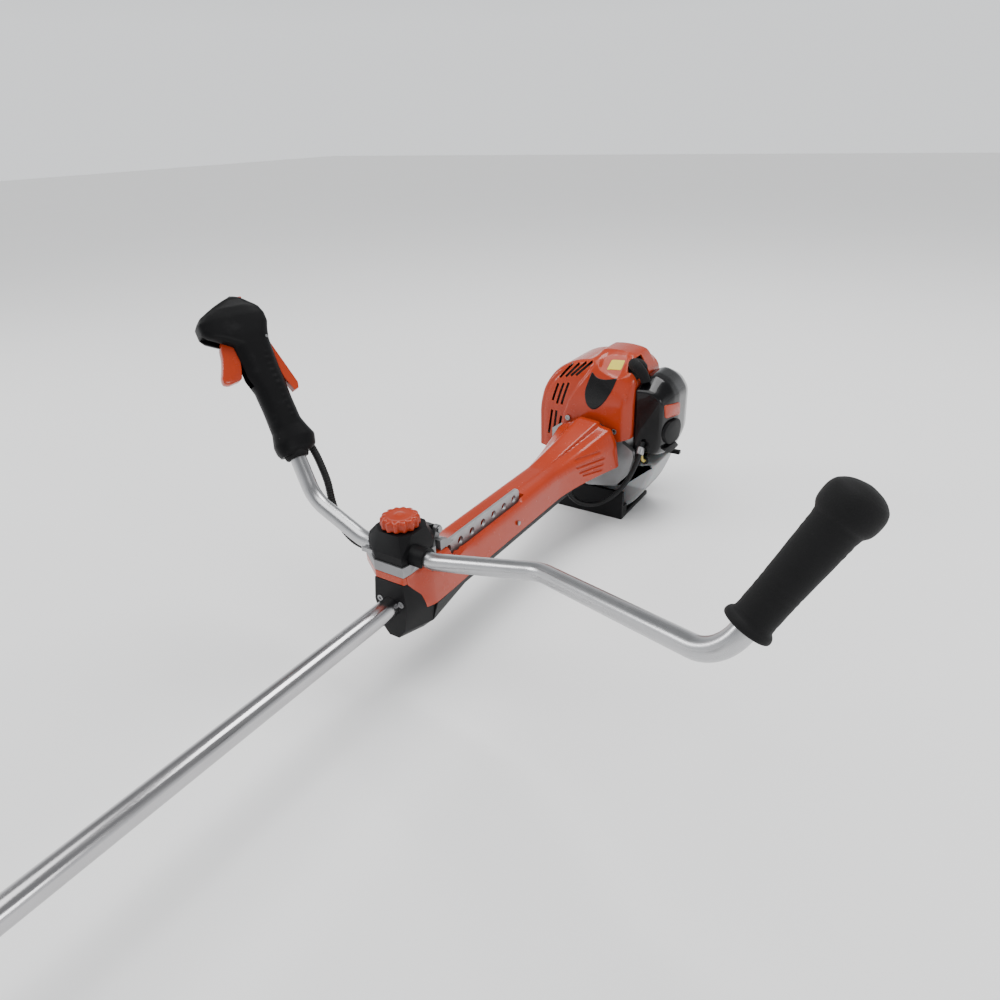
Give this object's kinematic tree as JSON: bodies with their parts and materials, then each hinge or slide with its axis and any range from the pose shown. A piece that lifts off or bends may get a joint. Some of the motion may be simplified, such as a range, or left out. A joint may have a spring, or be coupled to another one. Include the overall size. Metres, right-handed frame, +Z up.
{
  "type": "string trimmer",
  "caption": "Petrol brushcutter on a long straight drive tube: bull-horn handlebar with throttle grip, engine at one end, guarded trimmer head at the other.",
  "frame": {"origin": "on the ground, centre of the engine foot's flat underside", "axes": "+Z up, +Y along the drive tube from the trimmer head towards the engine, +X towards the plain grip (the operator's left)"},
  "size_m": [0.8528, 1.8569, 0.4892],
  "materials": {
    "black_plastic": "fine-grained moulded black plastic",
    "orange_plastic": "glossy moulded orange plastic",
    "grey_casting": "cast aluminium, satin",
    "bright_tube": "bright drawn tube",
    "steel": "machined steel",
    "grip_rubber": "soft black rubber",
    "tank_plastic": "translucent white polyethylene",
    "filter_foam": "pleated filter felt",
    "hose": "clear yellowish fuel hose",
    "ceramic": "white plug insulator and plated shell",
    "orange_line": "nylon line",
    "dark_steel": "heat-resistant dark paint"
  },
  "bodies": {
    "tool": {"drive_tube": "bright_tube", "tube_bushes": "black_plastic", "gear_case": "grey_casting", "head_bolts": "steel", "gear_bearings": "steel", "guard": "black_plastic", "guard_bracket": "dark_steel", "line_cutter": "steel", "front_boot": "black_plastic", "tube_housing": "orange_plastic", "under_housing": "black_plastic", "carrying_strip": "steel", "cover_screws": "steel", "clamp_base": "grey_casting", "clamp_cap": "black_plastic", "clamp_pin": "steel", "crankcase": "grey_casting", "connecting_rod": "steel", "piston": "grey_casting", "engine_cylinder": "grey_casting", "spark_plug": "ceramic", "plug_boot": "black_plastic", "muffler": "dark_steel", "engine_cover": "orange_plastic", "carburettor": "grey_casting", "air_filter": "filter_foam", "filter_cover": "black_plastic", "fuel_tank": "tank_plastic", "fuel_hose": "hose", "engine_conduit": "black_plastic", "starter_housing": "black_plastic", "engine_foot": "black_plastic"},
    "drive_line": {"drive_shaft": "steel", "pinion_gear": "steel", "clutch_drum": "steel"},
    "trimmer_head": {"output_gear": "steel", "output_shaft": "steel", "thrust_plate": "steel", "head_housing": "black_plastic", "line_eyelets": "steel", "head_cover": "black_plastic"},
    "spool": {"head_spool": "black_plastic", "spool_line": "orange_line", "bump_knob": "orange_plastic"},
    "crank": {"crankshaft": "steel", "flywheel": "grey_casting", "clutch_shoes": "steel"},
    "handlebar": {"handlebar_tube": "bright_tube", "plain_grip": "grip_rubber", "throttle_shell_left": "black_plastic", "throttle_shell_right": "black_plastic", "throttle_screws": "steel", "throttle_conduit": "black_plastic"},
    "knob": {"clamp_knob": "orange_plastic"},
    "trigger": {"throttle_trigger": "orange_plastic"},
    "lockout": {"lockout_lever": "orange_plastic"},
    "switch": {"stop_switch": "orange_plastic"},
    "tank_cap": {"fuel_cap": "black_plastic"},
    "choke": {"choke_lever": "black_plastic"},
    "starter_grip": {"starter_handle": "black_plastic"}
  },
  "joints": [
    {"name": "head_spin", "type": "hinge", "parent": "tool", "child": "trimmer_head", "pos_m": [0, -1.641, 0.13], "axis": [0, -0.4226, -0.9063], "continuous": true},
    {"name": "drive_spin", "type": "hinge", "parent": "tool", "child": "drive_line", "pos_m": [0, -0.64, 0.13], "axis": [0, 1, 0], "continuous": true},
    {"name": "bump_slide", "type": "slide", "parent": "trimmer_head", "child": "spool", "axis": [0, 0.4226, 0.9063], "range_m": [0, 0.005], "stiffness_N_per_m": 3000, "springref_m": -0.002},
    {"name": "crank_spin", "type": "hinge", "parent": "tool", "child": "crank", "pos_m": [0, 0, 0.13], "axis": [0, 1, 0], "continuous": true},
    {"name": "handlebar_tilt", "type": "hinge", "parent": "tool", "child": "handlebar", "pos_m": [0, -0.614, 0.2], "axis": [1, 0, 0], "range_deg": [-35, 35], "deforming": ["throttle_conduit"]},
    {"name": "knob_turn", "type": "hinge", "parent": "tool", "child": "knob", "pos_m": [-0.007, -0.598, 0.227], "axis": [0, 0, 1], "continuous": true},
    {"name": "trigger_pull", "type": "hinge", "parent": "handlebar", "child": "trigger", "pos_m": [-0.27757, -0.59638, 0.43382], "axis": [-0.8035, 0.2433, -0.5433], "range_deg": [0, 20], "stiffness_Nm_per_rad": 0.4, "springref_deg": -17.19},
    {"name": "lockout_squeeze", "type": "hinge", "parent": "handlebar", "child": "lockout", "pos_m": [-0.25905, -0.55392, 0.42542], "axis": [-0.8035, 0.2433, -0.5433], "range_deg": [-9, 0], "stiffness_Nm_per_rad": 0.3, "springref_deg": 17.19},
    {"name": "stop_slide", "type": "slide", "parent": "handlebar", "child": "switch", "axis": [-0.2898, -0.9571, 0], "range_m": [-0.0035, 0.0035]},
    {"name": "fuel_cap_turn", "type": "hinge", "parent": "tool", "child": "tank_cap", "pos_m": [-0.105, 0.02, 0.049], "axis": [-1, 0, 0], "continuous": true},
    {"name": "choke_turn", "type": "hinge", "parent": "tool", "child": "choke", "pos_m": [0.122, 0.016, 0.125], "axis": [0, 0, 1], "range_deg": [-50, 0]},
    {"name": "starter_pull", "type": "slide", "parent": "tool", "child": "starter_grip", "axis": [0.5, 0, 0.866], "range_m": [0, 0.12], "stiffness_N_per_m": 25, "springref_m": -0.4}
  ],
  "couplings": [
    {"joint": "drive_spin", "follows": "head_spin", "ratio": -1.5385}
  ]
}
